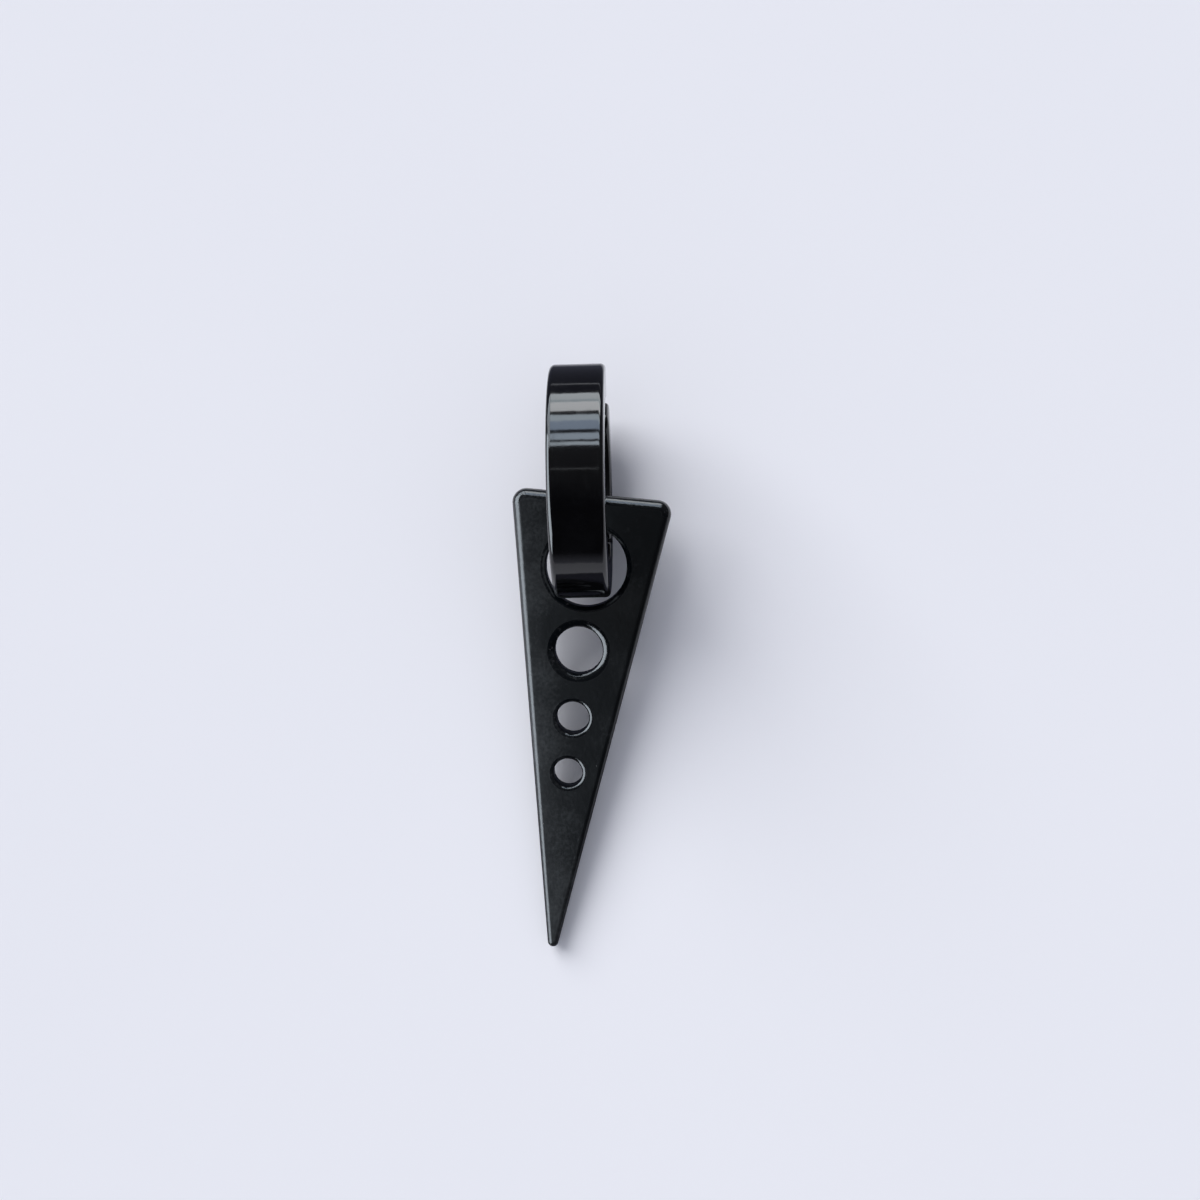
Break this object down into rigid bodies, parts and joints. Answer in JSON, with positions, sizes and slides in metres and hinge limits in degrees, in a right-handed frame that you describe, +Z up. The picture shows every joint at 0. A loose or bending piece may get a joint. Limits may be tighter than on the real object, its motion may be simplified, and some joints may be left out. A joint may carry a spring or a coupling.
{
  "type": "hinged hoop earring with triangular drop",
  "caption": "Small hinged hoop earring with a long flat triangular drop, pierced by graduated round holes, that slides and swings on the hoop.",
  "frame": {"origin": "bottom centre of the whole earring's box as it lies, on the surface that the hoop and the drop's tip touch", "axes": "+Z up from the surface; +Y from the drop's tip towards the ear gap; +X along the hoop's width, parallel to the hinge pin"},
  "size_m": [0.0104, 0.038, 0.0148],
  "materials": {
    "polished_black": "mirror-polished black coating on stainless steel",
    "satin_black": "glossy black coating with a faint orange peel on stainless steel",
    "worn_black": "black coating rubbed thin on stainless steel"
  },
  "bodies": {
    "hoop": {"front_hoop": "polished_black", "hinge_pin": "worn_black", "ear_post": "worn_black"},
    "arm": {"rear_arm": "polished_black"},
    "drop": {"triangle_drop": "satin_black"}
  },
  "joints": [
    {"name": "arm_hinge", "type": "hinge", "parent": "hoop", "child": "arm", "pos_m": [-0.00053, 0.00682, 0.00343], "axis": [1, 0, 0], "range_deg": [-50, 0]},
    {"name": "drop_swing", "type": "hinge", "parent": "hoop", "child": "drop", "pos_m": [-0.00053, 0.01165, 0.0074], "axis": [1, 0, 0], "range_deg": [-150, 10]}
  ]
}
